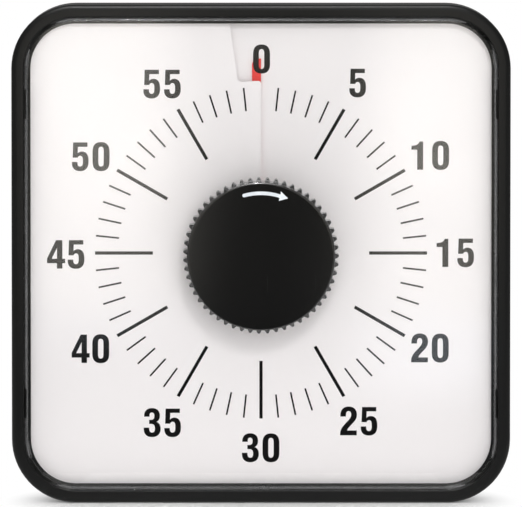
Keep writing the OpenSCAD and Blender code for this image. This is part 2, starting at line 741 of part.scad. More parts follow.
front_frame();
rear_cover();
clear_cover();
dial_face();
dial_seat();
dial_panel();
time_disc();
disc_hub();
knob();
main_arbor();
arbor_bushes();
front_plate();
back_plate();
plate_pillars();
plate_nuts();
movement_screws();
great_wheel();
ratchet_wheel();
click();
click_spring();
mainspring();
spring_post();
second_wheel();
second_arbor();
third_wheel();
third_arbor();
escape_wheel();
escape_arbor();
pallet_lever();
balance_wheel();
balance_staff();
trip_cam();
hammer();
hammer_arbor();
hammer_spring();
bell();
bell_screw();
panel_screws();
case_screws();
magnets();
left_foot();
right_foot();
foot_pins();
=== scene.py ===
"""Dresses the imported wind-up countdown timer for its pictures.

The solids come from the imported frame. This script adds the printed scale and numerals and the
knob's arrow, gives the outer shells smooth shading, dresses every piece, and sets up a pale
floor, soft light and a camera. Everything is in metres, in the frame's own axes.
"""

import json
import logging
import math
from dataclasses import dataclass
from enum import Enum
from typing import Any, Optional, Sequence, Union

import bmesh
import bpy
from mathutils import Matrix, Vector

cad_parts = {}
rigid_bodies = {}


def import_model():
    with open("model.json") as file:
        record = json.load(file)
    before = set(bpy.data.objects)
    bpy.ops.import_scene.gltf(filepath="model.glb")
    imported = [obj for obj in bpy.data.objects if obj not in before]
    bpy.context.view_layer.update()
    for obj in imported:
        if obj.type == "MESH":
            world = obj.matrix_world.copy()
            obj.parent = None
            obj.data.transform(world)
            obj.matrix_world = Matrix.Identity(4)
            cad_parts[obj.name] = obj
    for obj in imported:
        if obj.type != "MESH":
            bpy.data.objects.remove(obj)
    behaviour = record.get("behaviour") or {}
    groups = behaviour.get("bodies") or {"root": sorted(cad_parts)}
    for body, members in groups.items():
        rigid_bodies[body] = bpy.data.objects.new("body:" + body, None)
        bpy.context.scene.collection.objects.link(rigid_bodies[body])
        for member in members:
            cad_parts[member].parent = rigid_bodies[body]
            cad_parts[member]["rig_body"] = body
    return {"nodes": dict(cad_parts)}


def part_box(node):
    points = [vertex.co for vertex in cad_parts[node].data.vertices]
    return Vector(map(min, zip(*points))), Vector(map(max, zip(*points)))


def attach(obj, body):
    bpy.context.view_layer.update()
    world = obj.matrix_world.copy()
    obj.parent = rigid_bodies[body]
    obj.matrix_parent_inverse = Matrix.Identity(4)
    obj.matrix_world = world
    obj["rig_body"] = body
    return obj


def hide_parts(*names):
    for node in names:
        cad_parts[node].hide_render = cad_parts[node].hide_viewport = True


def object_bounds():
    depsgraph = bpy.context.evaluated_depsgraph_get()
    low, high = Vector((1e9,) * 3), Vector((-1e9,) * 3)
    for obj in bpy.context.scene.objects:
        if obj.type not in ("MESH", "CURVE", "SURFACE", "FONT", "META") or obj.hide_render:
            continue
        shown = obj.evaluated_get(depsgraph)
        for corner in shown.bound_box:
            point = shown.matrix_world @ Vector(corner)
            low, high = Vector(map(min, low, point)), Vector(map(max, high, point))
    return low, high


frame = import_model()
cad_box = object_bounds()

log = logging.getLogger("timer")

Colour = tuple[float, float, float]
Span = tuple[float, float]
Number = Union[float, "Wire"]
Key = Union[int, str]


# ---------------------------------------------------------------- shader building


class Wire:
    """An output socket of a shader, on which maths is written as an expression."""

    def __init__(self, recipe: "Recipe", socket: bpy.types.NodeSocket) -> None:
        """Wraps a socket of a recipe's node."""
        self.recipe = recipe
        self.socket = socket

    def _maths(self, operation: str, first: Number, second: Number = 0.0) -> "Wire":
        """Adds a Math node.

        Args:
            operation: The Math node's operation.
            first: The first term.
            second: The second term.

        Returns:
            The node's result.
        """
        return self.recipe.wire("ShaderNodeMath", {"operation": operation}, {0: first, 1: second})

    def __add__(self, other: Number) -> "Wire":
        """Returns self + other."""
        return self._maths("ADD", self, other)

    def __radd__(self, other: Number) -> "Wire":
        """Returns other + self."""
        return self._maths("ADD", other, self)

    def __sub__(self, other: Number) -> "Wire":
        """Returns self - other."""
        return self._maths("SUBTRACT", self, other)

    def __rsub__(self, other: Number) -> "Wire":
        """Returns other - self."""
        return self._maths("SUBTRACT", other, self)

    def __mul__(self, other: Number) -> "Wire":
        """Returns self * other."""
        return self._maths("MULTIPLY", self, other)

    def __rmul__(self, other: Number) -> "Wire":
        """Returns other * self."""
        return self._maths("MULTIPLY", other, self)

    def __pow__(self, other: Number) -> "Wire":
        """Returns self ** other."""
        return self._maths("POWER", self, other)

    def __abs__(self) -> "Wire":
        """Returns the absolute value."""
        return self._maths("ABSOLUTE", self)

    def largest(self, other: Number) -> "Wire":
        """Returns the larger of self and other."""
        return self._maths("MAXIMUM", self, other)

    def between(self, low: float, high: float) -> "Wire":
        """Returns a smooth step.

        Args:
            low: The value at which the result leaves 0.
            high: The value at which it reaches 1; below low, the step falls instead.

        Returns:
            A value from 0 to 1.
        """
        if low > high:
            return 1.0 - self.between(high, low)
        return self.recipe.wire(
            "ShaderNodeMapRange",
            {"interpolation_type": "SMOOTHSTEP"},
            {"Value": self, "From Min": low, "From Max": high},
        )


class Recipe:
    """Builds the nodes of one material."""

    def __init__(self, name: str) -> None:
        """Starts an empty material of that name."""
        self.material = bpy.data.materials.new(name)
        self.material.use_nodes = True
        self.tree = self.material.node_tree
        self.tree.nodes.clear()
        self.result = self.tree.nodes.new("ShaderNodeOutputMaterial")

    def node(
        self,
        kind: str,
        settings: Optional[dict[str, Any]] = None,
        sockets: Optional[dict[Key, Any]] = None,
    ) -> bpy.types.Node:
        """Adds a node.

        Args:
            kind: The node's type.
            settings: Its properties, set before its sockets.
            sockets: Values, wires or sockets for its inputs, by name or number.

        Returns:
            The new node.
        """
        node = self.tree.nodes.new(kind)
        for name, value in (settings or {}).items():
            setattr(node, name, value)
        for key, value in (sockets or {}).items():
            self.feed(node.inputs[key], value)
        return node

    def feed(self, socket: bpy.types.NodeSocket, value: Any) -> None:
        """Links or sets an input.

        Args:
            socket: The input.
            value: A wire or a socket to link, a colour, or a plain value.
        """
        if isinstance(value, Wire):
            self.tree.links.new(value.socket, socket)
        elif isinstance(value, bpy.types.NodeSocket):
            self.tree.links.new(value, socket)
        elif socket.type == "RGBA" and len(value) == 3:
            socket.default_value = (*value, 1.0)
        else:
            socket.default_value = value

    def wire(
        self,
        kind: str,
        settings: Optional[dict[str, Any]] = None,
        sockets: Optional[dict[Key, Any]] = None,
        output: Key = 0,
    ) -> Wire:
        """Adds a node and returns one of its outputs.

        Args:
            kind: The node's type.
            settings: Its properties.
            sockets: Values or links for its inputs.
            output: The name or number of the output.

        Returns:
            The output as a wire.
        """
        return Wire(self, self.node(kind, settings, sockets).outputs[output])

    def place(
        self,
        stretch: Sequence[float] = (1.0, 1.0, 1.0),
        turn: Sequence[float] = (0.0, 0.0, 0.0),
        centre: Sequence[float] = (0.0, 0.0, 0.0),
    ) -> Wire:
        """Gives object coordinates, moved so that a centre lies at zero.

        Args:
            stretch: Factors along X, Y and Z.
            turn: Turns about X, Y and Z in degrees.
            centre: The point that becomes zero.

        Returns:
            The coordinates.
        """
        here = self.wire("ShaderNodeTexCoord", output="Object")
        moved = self.wire(
            "ShaderNodeVectorMath", {"operation": "SUBTRACT"}, {0: here, 1: tuple(centre)}
        )
        return self.wire(
            "ShaderNodeMapping",
            {"vector_type": "POINT"},
            {
                "Vector": moved,
                "Rotation": tuple(math.radians(a) for a in turn),
                "Scale": tuple(stretch),
            },
        )

    def noise(self, where: Wire, size: float, detail: float = 2.0, rough: float = 0.5) -> Wire:
        """Adds a noise pattern.

        Args:
            where: The coordinates.
            size: The size of its largest lumps in metres.
            detail: The number of finer layers.
            rough: How much the finer layers weigh.

        Returns:
            A value round 0.5.
        """
        sockets = {"Vector": where, "Scale": 1.0 / size, "Detail": detail, "Roughness": rough}
        return self.wire("ShaderNodeTexNoise", {"noise_dimensions": "3D"}, sockets)

    def axes(self, where: Wire) -> tuple[Wire, Wire, Wire]:
        """Splits coordinates into X, Y and Z."""
        node = self.node("ShaderNodeSeparateXYZ", None, {"Vector": where})
        return Wire(self, node.outputs[0]), Wire(self, node.outputs[1]), Wire(self, node.outputs[2])

    def blend(self, mask: Number, first: Any, second: Any) -> Wire:
        """Mixes two colours.

        Args:
            mask: 0 for the first colour, 1 for the second.
            first: A colour or a wire.
            second: A colour or a wire.

        Returns:
            The mixed colour.
        """
        node = self.node("ShaderNodeMix", {"data_type": "RGBA"})
        for key, value in ((0, mask), (6, first), (7, second)):
            self.feed(node.inputs[key], value)
        return Wire(self, node.outputs[2])

    def relief(self, height: Number, distance: float) -> Wire:
        """Turns a height from 0 to 1 into a normal, over a distance in metres."""
        return self.wire("ShaderNodeBump", None, {"Height": height, "Distance": distance})

    def edges(self, radius: float, soft: Span = (0.02, 0.22)) -> Wire:
        """Marks outer and inner edges.

        Args:
            radius: How far from an edge the mark reaches, in metres.
            soft: How far the normal has to turn for the mark to start, and to be whole.

        Returns:
            A value that rises from 0 at the edges.
        """
        rounded = self.wire("ShaderNodeBevel", {"samples": 4}, {"Radius": radius})
        plain = self.wire("ShaderNodeNewGeometry", output="Normal")
        same = self.wire(
            "ShaderNodeVectorMath", {"operation": "DOT_PRODUCT"}, {0: rounded, 1: plain}, "Value"
        )
        return (1.0 - same).between(*soft)

    def surface(self, **sockets: Any) -> bpy.types.Material:
        """Ends in one Principled shader.

        Args:
            **sockets: Its inputs, with underscores for spaces.

        Returns:
            The finished material.
        """
        shader = self.node("ShaderNodeBsdfPrincipled")
        for name, value in sockets.items():
            self.feed(shader.inputs[name.replace("_", " ")], value)
        return self.end(shader.outputs[0])

    def end(self, shader: Any) -> bpy.types.Material:
        """Links a shader to the material's surface and returns the material."""
        self.feed(self.result.inputs["Surface"], shader)
        return self.material


def tinted(colour: Colour, factor: float) -> Colour:
    """Returns a colour made lighter or darker by a factor."""
    return (colour[0] * factor, colour[1] * factor, colour[2] * factor)


# ---------------------------------------------------------------- the front view


@dataclass(frozen=True)
class FrontView:
    """Turns places on the front view, in millimetres about the dial's centre, into the frame."""

    front_y: float
    centre_z: float

    def flat(self, depth: float, x: float = 0.0, z: float = 0.0) -> Matrix:
        """Gives the matrix that stands a flat drawing up, facing the viewer.

        Args:
            depth: Millimetres behind the front face of the case.
            x: Where the drawing's origin goes, to the right of the dial's centre.
            z: Where it goes above that centre.

        Returns:
            The matrix, which also turns millimetres into metres.
        """
        place = Vector((x / 1000, self.front_y + depth / 1000, self.centre_z + z / 1000))
        stand = Matrix.Rotation(math.radians(90), 4, "X")
        return Matrix.Translation(place) @ stand @ Matrix.Scale(0.001, 4)


FRONT = FrontView(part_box("front_frame")[0].y, (cad_box[0].z + cad_box[1].z) / 2)
CORNER_ARC = 0.07085  # how far the middle of each rounded corner lies from the dial's centre


# ---------------------------------------------------------------- finishes


@dataclass(frozen=True)
class MouldedPlastic:
    """Injection moulded plastic, with the mould's fine texture; sizes are in metres."""

    name: str
    colour: Colour
    roughness: float
    grain: float = 0.0006
    depth: float = 0.00002
    mottle: float = 0.05
    spread: float = 0.08
    shine: float = 0.5
    edge_wear: float = 0.0
    flow_mark: float = 0.04
    dust_speck: float = 0.0021
    dust_colour: Colour = (0.42, 0.40, 0.38)
    scratch: float = 0.0009
    worn_edge: float = 0.0005
    worn_patch: float = 0.006

    def material(self) -> bpy.types.Material:
        """Builds the material: mould texture, flow marks, dust, fine scratches and worn edges."""
        r = Recipe(self.name)
        here = r.place()
        flow = r.noise(r.place(stretch=(1.0, 1.0, 0.55), turn=(0.0, 24.0, 0.0)), self.flow_mark, 3.0)
        texture = r.noise(here, self.grain, 2.0, 0.6)
        dust = r.noise(here, self.dust_speck, 5.0, 0.75).between(0.66, 0.78)
        lines = r.noise(r.place(stretch=(1.0, 1.0, 0.03), turn=(0.0, 37.0, 11.0)), self.scratch, 2.0)
        scratch = lines.between(0.70, 0.74) * flow.between(0.45, 0.7)
        colour = r.blend(flow, tinted(self.colour, 1 - self.mottle), tinted(self.colour, 1 + self.mottle))
        colour = r.blend(dust * 0.05, colour, self.dust_colour)
        rough = self.roughness + (flow - 0.5) * self.spread + (texture - 0.5) * 0.1
        if self.edge_wear:
            worn = r.edges(self.worn_edge) * r.noise(here, self.worn_patch, 3.0).between(0.35, 0.65)
            colour = r.blend(worn * self.edge_wear, colour, tinted(self.colour, 2.6))
            rough = rough - worn * 0.12
        rough = rough + scratch * 0.12
        normal = r.relief(texture - scratch * 0.3, self.depth)
        return r.surface(
            Base_Color=colour,
            Roughness=rough,
            Specular_IOR_Level=self.shine,
            Normal=normal,
        )


@dataclass(frozen=True)
class SheetPlastic:
    """Thin calendered sheet: even in colour, with a satin surface and faint waves."""

    name: str
    colour: Colour
    roughness: float
    shine: float = 0.3
    cloud: float = 0.07
    roller_mark: float = 0.0005
    wave: float = 0.045
    wave_height: float = 0.0004

    def material(self) -> bpy.types.Material:
        """Builds the material: faint clouding, rolled texture and slow waves."""
        r = Recipe(self.name)
        here = r.place()
        cloud = r.noise(here, self.cloud, 2.0)
        rolled = r.noise(r.place(stretch=(1.0, 1.0, 0.2)), self.roller_mark, 2.0)
        waves = r.noise(here, self.wave, 1.0)
        colour = r.blend(cloud, tinted(self.colour, 0.985), tinted(self.colour, 1.01))
        colour = r.blend(rolled.between(0.62, 0.75) * 0.03, colour, tinted(self.colour, 0.8))
        return r.surface(
            Base_Color=colour,
            Roughness=self.roughness + (rolled - 0.5) * 0.08,
            Specular_IOR_Level=self.shine,
            Normal=r.relief(waves + rolled * 0.004, self.wave_height),
        )


@dataclass(frozen=True)
class ClearPlastic:
    """Clear moulded plastic: see-through head on, mirroring more towards its edges; its moulded edge can
    carry painted light, a grey glow band and a painted highlight line.
    """

    name: str
    head_on: float = 0.027
    # The fields below set the painted edge light: its strength and grey colour, the painted glow band, the
    # painted highlight line, and their streaks and speckle.
    painted_edge_glow: float = 0.0
    painted_glow_colour: Colour = (0.56, 0.56, 0.57)
    step_band: Span = (0.01700, 0.01830)
    highlight_line_span: tuple[float, float, float, float] = (0.01835, 0.01865, 0.01880, 0.01905)
    streak: float = 0.003
    speckle: float = 0.0012
    smear: float = 0.03
    hairline: float = 0.0016

    def edge_light(self, r: Recipe) -> Wire:
        """Gives how much painted light the moulded edge carries: a painted glow band by the window and a
        painted highlight line on the rounded edge, streaked.

        The bands lie at these distances, in metres, from the square on which the corners' arcs
        have their middles.
        """
        x, _, z = r.axes(r.place(centre=(0.0, 0.0, FRONT.centre_z)))
        beside = (abs(x) - CORNER_ARC).largest(0.0)
        over = (abs(z) - CORNER_ARC).largest(0.0)
        out = (beside * beside + over * over) ** 0.5
        streak = r.noise(r.place(stretch=(0.2, 1.0, 0.2)), self.streak, 3.0)
        near, far = self.step_band
        rise, top, crest, foot = self.highlight_line_span
        inner = out.between(far, near)
        line = out.between(rise, top) * out.between(foot, crest)
        return self.painted_edge_glow * (0.32 + 0.9 * inner + 0.8 * line) * (0.6 + 0.8 * streak)

    def material(self) -> bpy.types.Material:
        """Builds the material: a clear and a mirroring shader mixed by the viewing angle and, where the edge
        glow is set, a grey diffuse shader mixed in by position that paints light and highlight lines onto the
        edge.
        """
        r = Recipe(self.name)
        here = r.place()
        facing = r.wire("ShaderNodeLayerWeight", None, {"Blend": 0.5}, "Facing")
        mirror = self.head_on + (1.0 - self.head_on) * facing**5.0
        smear = r.noise(r.place(stretch=(1.0, 1.0, 0.4), turn=(0.0, 50.0, 0.0)), self.smear, 3.0)
        hair = r.noise(r.place(stretch=(1.0, 1.0, 0.02), turn=(0.0, -28.0, 0.0)), self.hairline, 2.0)
        rough = 0.02 + smear.between(0.5, 0.8) * 0.04 + hair.between(0.7, 0.74) * 0.1
        clear = r.node("ShaderNodeBsdfTransparent", None, {"Color": (0.995, 0.997, 0.995)})
        gloss = r.node(
            "ShaderNodeBsdfGlossy",
            None,
            {"Color": (0.97, 0.97, 0.97), "Roughness": rough, "Normal": r.relief(smear, 0.00001)},
        )
        shader = r.node("ShaderNodeMixShader", None, {0: mirror, 1: clear.outputs[0], 2: gloss.outputs[0]})
        # Painted light: a grey diffuse surface mixed in by position paints the glow band and highlight lines
        # along the moulded edge.
        if self.painted_edge_glow:
            dim, bright = tinted(self.painted_glow_colour, 0.9), tinted(self.painted_glow_colour, 1.1)
            colour = r.blend(r.noise(here, self.speckle, 3.0), dim, bright)
            painted_glow_surface = r.node("ShaderNodeBsdfPrincipled", None, {"Base Color": colour, "Roughness": 0.22})
            glow = self.edge_light(r)
            shader = r.node("ShaderNodeMixShader", None, {0: glow, 1: shader.outputs[0], 2: painted_glow_surface.outputs[0]})
        return r.end(shader.outputs[0])


@dataclass(frozen=True)
class PrintedInk:
    """Screen printed ink, a little thinner in places."""

    name: str
    colour: Colour
    roughness: float = 0.45
    shine: float = 0.3
    thin_patch: float = 0.004
    screen_mesh: float = 0.00025

    def material(self) -> bpy.types.Material:
        """Builds the material: even ink with pinholes and a faint mesh texture."""
        r = Recipe(self.name)
        here = r.place()
        thin = r.noise(here, self.thin_patch, 3.0)
        mesh = r.noise(here, self.screen_mesh, 1.0)
        colour = r.blend(thin.between(0.4, 0.8), self.colour, tinted(self.colour, 1.25))
        return r.surface(
            Base_Color=colour,
            Roughness=self.roughness + (thin - 0.5) * 0.1,
            Specular_IOR_Level=self.shine,
            Normal=r.relief(mesh, 0.000004),
        )


class MetalGrain(Enum):
    """How a metal's surface was made."""

    ROLLED = "rolled sheet, brushed along its length"
    TURNED = "turned on a lathe, with rings round the arbor's direction"
    PLATED = "zinc or nickel plated, with a faint cloud"
    BLUED = "spring steel, tempered blue"


@dataclass(frozen=True)
class Metal:
    """A bare or plated metal."""

    name: str
    colour: Colour
    roughness: float
    grain: MetalGrain
    stain: Colour = (0.35, 0.30, 0.24)
    cloud: float = 0.006
    lathe_ring: float = 0.0002
    crystal: float = 0.0006
    brush_line: float = 0.00022
    temper_patch: float = 0.003
    temper_blue: Colour = (0.10, 0.13, 0.24)
    grain_depth: float = 0.000012

    def material(self) -> bpy.types.Material:
        """Builds the material: grain by how it was made, clouding, stains and a fine relief."""
        r = Recipe(self.name)
        here = r.place()
        cloud = r.noise(here, self.cloud, 3.0)
        if self.grain is MetalGrain.TURNED:
            grain = r.noise(r.place(stretch=(0.15, 1.0, 0.15)), self.lathe_ring, 2.0)
        elif self.grain is MetalGrain.PLATED:
            grain = r.noise(here, self.crystal, 4.0, 0.65)
        else:
            grain = r.noise(r.place(stretch=(0.05, 1.0, 1.0)), self.brush_line, 3.0)
        colour = r.blend(cloud, tinted(self.colour, 0.92), tinted(self.colour, 1.06))
        if self.grain is MetalGrain.BLUED:
            tempered = r.noise(here, self.temper_patch, 2.0).between(0.35, 0.7)
            colour = r.blend(tempered, colour, self.temper_blue)
        colour = r.blend(cloud.between(0.62, 0.78) * 0.25, colour, self.stain)
        rough = self.roughness + (grain - 0.5) * 0.16 + (cloud - 0.5) * 0.08
        return r.surface(
            Base_Color=colour,
            Metallic=1.0,
            Roughness=rough,
            Normal=r.relief(grain, self.grain_depth),
        )


JET_BLACK = (0.0045, 0.0045, 0.0044)
CASE_BLACK = MouldedPlastic(
    "case_plastic", (0.0045, 0.0046, 0.0044), 0.42, 0.0007, 0.00004, 0.10, 0.10, 0.18, 0.6
)
FOOT_BLACK = MouldedPlastic(
    "foot_plastic", (0.008, 0.008, 0.008), 0.42, 0.0009, 0.00002, 0.08, 0.10, 0.40, 0.6
)
KNOB_BLACK = MouldedPlastic("knob_plastic", JET_BLACK, 0.24, 0.0005, 0.000006, 0.10, 0.06, 0.45, 0.8)
KNOB_SIDE = MouldedPlastic("knob_side", JET_BLACK, 0.12, 0.0005, 0.000001, 0.10, 0.03, 1.0, 0.8)
SEAT_WHITE = MouldedPlastic("seat_plastic", (0.82, 0.81, 0.80), 0.45, 0.0006, 0.00001, 0.02)
GEAR_CREAM = MouldedPlastic("gear_plastic", (0.83, 0.78, 0.66), 0.38, 0.0004, 0.00001, 0.03)
DIAL_WHITE = SheetPlastic("dial_sheet", (0.930, 0.892, 0.900), 0.50)
DISC_RED = SheetPlastic("disc_sheet", (0.80, 0.035, 0.028), 0.48)
COVER_CLEAR = ClearPlastic("clear_plastic")
# The cover's edge finish paints light: a grey glow band and highlight lines mixed in by position.
COVER_EDGE = ClearPlastic("clear_plastic_edge", 0.045, 0.36)
SCALE_INK = PrintedInk("scale_ink", (0.0045, 0.0040, 0.0038), 0.5, 0.04)
ARROW_INK = PrintedInk("arrow_ink", (0.78, 0.83, 0.87))
ARBOR_STEEL = Metal("arbor_steel", (0.60, 0.60, 0.62), 0.24, MetalGrain.TURNED)
PLATE_STEEL = Metal("plate_steel", (0.66, 0.65, 0.62), 0.34, MetalGrain.ROLLED)
SCREW_ZINC = Metal("screw_zinc", (0.68, 0.69, 0.70), 0.30, MetalGrain.PLATED)
SCREW_BLACK = Metal("screw_black", (0.09, 0.09, 0.10), 0.42, MetalGrain.PLATED, (0.05, 0.05, 0.05))
SPRING_BLUE = Metal("spring_steel", (0.30, 0.33, 0.42), 0.28, MetalGrain.BLUED)
BUSH_BRASS = Metal("bush_brass", (0.80, 0.60, 0.28), 0.26, MetalGrain.TURNED, (0.42, 0.28, 0.12))
BELL_NICKEL = Metal("bell_nickel", (0.72, 0.70, 0.67), 0.14, MetalGrain.PLATED)
MAGNET_NICKEL = Metal("magnet_nickel", (0.62, 0.62, 0.63), 0.22, MetalGrain.PLATED)

Finish = Union[MouldedPlastic, SheetPlastic, ClearPlastic, PrintedInk, Metal]


class Wardrobe:
    """Keeps one material for each finish and puts it on pieces."""

    def __init__(self) -> None:
        """Starts with no material made."""
        self.made: dict[str, bpy.types.Material] = {}

    def of(self, finish: Finish) -> bpy.types.Material:
        """Returns a finish's material, which it builds at its first use."""
        if finish.name not in self.made:
            self.made[finish.name] = finish.material()
        return self.made[finish.name]

    def dress(self, piece: bpy.types.Object, *finishes: Finish) -> None:
        """Gives a piece its finishes, one for each slot.

        Args:
            piece: A new piece or a CAD node's object.
            *finishes: The finishes, in the order of the piece's slots.
        """
        slots = piece.data.materials
        while len(slots) < len(finishes):
            slots.append(None)
        for index in range(len(slots)):
            slots[index] = self.of(finishes[min(index, len(finishes) - 1)])


# ---------------------------------------------------------------- placing


def new_piece(name: str, shape: bmesh.types.BMesh) -> bpy.types.Object:
    """Makes an object of a bmesh, which it frees.

    Args:
        name: The piece's name.
        shape: Its shape, in place.

    Returns:
        The object, at the origin.
    """
    mesh = bpy.data.meshes.new(name)
    shape.to_mesh(mesh)
    shape.free()
    piece = bpy.data.objects.new(name, mesh)
    bpy.context.scene.collection.objects.link(piece)
    return piece


def smooth_shell(name: str, node: str, limit: float = 32.0) -> bpy.types.Object:
    """Makes a merged copy of a CAD node, smooth across its facets, that stands for the node.

    Args:
        name: The piece's name.
        node: The CAD node.
        limit: The angle in degrees above which an edge stays crisp.

    Returns:
        The piece, riding on the node's body.
    """
    source = frame["nodes"][node]
    shape = bmesh.new()
    shape.from_mesh(source.data)
    bmesh.ops.remove_doubles(shape, verts=shape.verts, dist=0.000002)
    piece = new_piece(name, shape)
    for face in piece.data.polygons:
        face.use_smooth = True
    piece.data.set_sharp_from_angle(angle=math.radians(limit))
    weights = piece.modifiers.new("flat_faces_stay_flat", "WEIGHTED_NORMAL")
    weights.mode, weights.weight, weights.keep_sharp = "FACE_AREA", 50, True
    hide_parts(node)
    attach(piece, source["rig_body"])
    return piece


# ---------------------------------------------------------------- numerals


Step = tuple[float, ...]

# Outlines of the numerals in millimetres from the baseline: a start, then corners (2 numbers)
# and curves (6 numbers: two handles and an end).
DIGITS: dict[str, tuple[tuple[Step, ...], ...]] = {
    "0": (
        (
            (0, 7.4), (0, 9.8, 1.1, 11.0, 3.22, 11.0), (5.35, 11.0, 6.45, 9.8, 6.45, 7.4),
            (6.45, 3.5), (6.45, 1.1, 5.35, -0.1, 3.22, -0.1), (1.1, -0.1, 0, 1.1, 0, 3.5),
        ),
        (
            (2.2, 7.6), (2.2, 3.3), (2.2, 2.2, 2.5, 1.65, 3.22, 1.65),
            (3.95, 1.65, 4.25, 2.2, 4.25, 3.3), (4.25, 7.6),
            (4.25, 8.7, 3.95, 9.25, 3.22, 9.25), (2.5, 9.25, 2.2, 8.7, 2.2, 7.6),
        ),
    ),
    "1": (
        (
            (2.2, 0), (4.45, 0), (4.45, 10.75), (3.05, 10.75),
            (2.75, 9.7, 1.9, 9.2, 0, 9.15), (0, 7.65), (2.2, 7.65),
        ),
    ),
    "2": (
        (
            (0, 0), (6.4, 0), (6.4, 1.85), (2.75, 1.85), (2.9, 2.6, 3.5, 3.2, 4.3, 4.05),
            (5.5, 5.3, 6.45, 6.2, 6.45, 7.9), (6.45, 9.9, 5.25, 11.05, 3.3, 11.05),
            (1.3, 11.05, 0.1, 9.8, 0.1, 7.6), (0.1, 7.2), (2.25, 7.2), (2.25, 7.7),
            (2.25, 8.7, 2.55, 9.3, 3.25, 9.3), (3.95, 9.3, 4.25, 8.8, 4.25, 7.95),
            (4.25, 6.9, 3.6, 6.2, 2.6, 5.15), (1.0, 3.5, 0.05, 2.4, 0, 0.6),
        ),
    ),
    "3": (
        (
            (0, 3.55), (0, 3.2), (0, 1.1, 1.15, -0.1, 3.2, -0.1), (5.3, -0.1, 6.5, 1.1, 6.5, 3.1),
            (6.5, 4.5, 5.9, 5.45, 4.9, 5.75), (5.8, 6.15, 6.2, 7.0, 6.2, 8.15),
            (6.2, 10.0, 5.1, 11.05, 3.2, 11.05), (1.25, 11.05, 0.15, 9.9, 0.15, 8.0),
            (0.15, 7.75), (2.25, 7.75), (2.25, 8.05), (2.25, 8.9, 2.5, 9.35, 3.15, 9.35),
            (3.8, 9.35, 4.1, 8.9, 4.1, 8.05), (4.1, 7.0, 3.75, 6.55, 2.85, 6.55), (2.1, 6.55),
            (2.1, 4.95), (2.9, 4.95), (3.9, 4.95, 4.3, 4.4, 4.3, 3.2),
            (4.3, 2.2, 3.95, 1.65, 3.25, 1.65), (2.5, 1.65, 2.15, 2.15, 2.15, 3.2), (2.15, 3.55),
        ),
    ),
    "4": (
        (
            (3.75, 0), (5.85, 0), (5.85, 2.05), (6.9, 2.05), (6.9, 3.75), (5.85, 3.75),
            (5.85, 10.85), (3.45, 10.85), (0, 3.85), (0, 2.05), (3.75, 2.05),
        ),
        ((3.8, 3.75), (3.8, 7.9), (1.75, 3.75)),
    ),
    "5": (
        (
            (0, 3.4), (0, 3.0), (0, 1.0, 1.15, -0.1, 3.15, -0.1), (5.2, -0.1, 6.35, 1.15, 6.35, 3.4),
            (6.35, 4.1), (6.35, 6.2, 5.45, 7.4, 3.85, 7.4), (3.2, 7.4, 2.65, 7.15, 2.2, 6.65),
            (2.3, 9.2), (5.95, 9.2), (5.95, 10.85), (0.5, 10.85), (0.3, 5.05), (2.25, 5.05),
            (2.4, 5.55, 2.7, 5.8, 3.15, 5.8), (3.9, 5.8, 4.2, 5.25, 4.2, 4.1), (4.2, 3.3),
            (4.2, 2.2, 3.85, 1.65, 3.15, 1.65), (2.45, 1.65, 2.1, 2.15, 2.1, 3.1), (2.1, 3.4),
        ),
    ),
}


def flat_shape(
    loops: Sequence[Sequence[Step]], thickness: float, left: float = 0.0, base: float = 0.0
) -> bmesh.types.BMesh:
    """Draws outlines as a filled curve and turns it into a flat mesh.

    Args:
        loops: Closed outlines, each a start, then corners and curves.
        thickness: How thick the sheet is, in millimetres.
        left: What is added to every X.
        base: What is added to every Y.

    Returns:
        The shape as a bmesh, in millimetres.
    """
    curve = bpy.data.curves.new("outline", "CURVE")
    curve.dimensions, curve.fill_mode = "2D", "BOTH"
    curve.extrude, curve.resolution_u = thickness / 2, 8
    for loop in loops:
        spline = curve.splines.new("BEZIER")
        spline.bezier_points.add(len(loop) - 1)
        spline.use_cyclic_u = True
        points = spline.bezier_points
        for point, step in zip(points, loop):
            point.co = (step[-2] + left, step[-1] + base, 0.0)
            point.handle_left_type = point.handle_right_type = "FREE"
            point.handle_left = point.handle_right = point.co
        for index, step in enumerate(loop):
            if len(step) == 6:
                points[index - 1].handle_right = (step[0] + left, step[1] + base, 0.0)
                points[index].handle_left = (step[2] + left, step[3] + base, 0.0)
    holder = bpy.data.objects.new("outline", curve)
    bpy.context.scene.collection.objects.link(holder)
    flat = bpy.data.meshes.new_from_object(holder.evaluated_get(bpy.context.evaluated_depsgraph_get()))
    bpy.data.objects.remove(holder)
    shape = bmesh.new()
    shape.from_mesh(flat)
    bpy.data.meshes.remove(flat)
    bmesh.ops.remove_doubles(shape, verts=shape.verts, dist=0.0001)
    return shape


def bend(centre: Sequence[float], radius: float, start: float, end: float) -> Step:
    """Gives a curve step along a circle's arc of up to a quarter turn.

    Args:
        centre: The circle's centre.
        radius: Its radius.
        start: The clock angle where the arc starts, in degrees.
        end: The clock angle where it ends.

    Returns:
        The two handles and the end.
    """
    a, b = math.radians(start), math.radians(end)
    k = 4 / 3 * math.tan((b - a) / 4) * radius
    begin = (centre[0] + radius * math.sin(a), centre[1] + radius * math.cos(a))
    last = (centre[0] + radius * math.sin(b), centre[1] + radius * math.cos(b))
    first = (begin[0] + k * math.cos(a), begin[1] - k * math.sin(a))
    second = (last[0] - k * math.cos(b), last[1] + k * math.sin(b))
    return (*first, *second, *last)


DIGIT_WIDTH = {"0": 6.45, "1": 4.45, "2": 6.45, "3": 6.5, "4": 6.9, "5": 6.35}
DIGIT_HEIGHT = 10.9


@dataclass(frozen=True)
class Numeral:
    """One number of the scale, and where its middle lies."""

    text: str
    x: float
    z: float


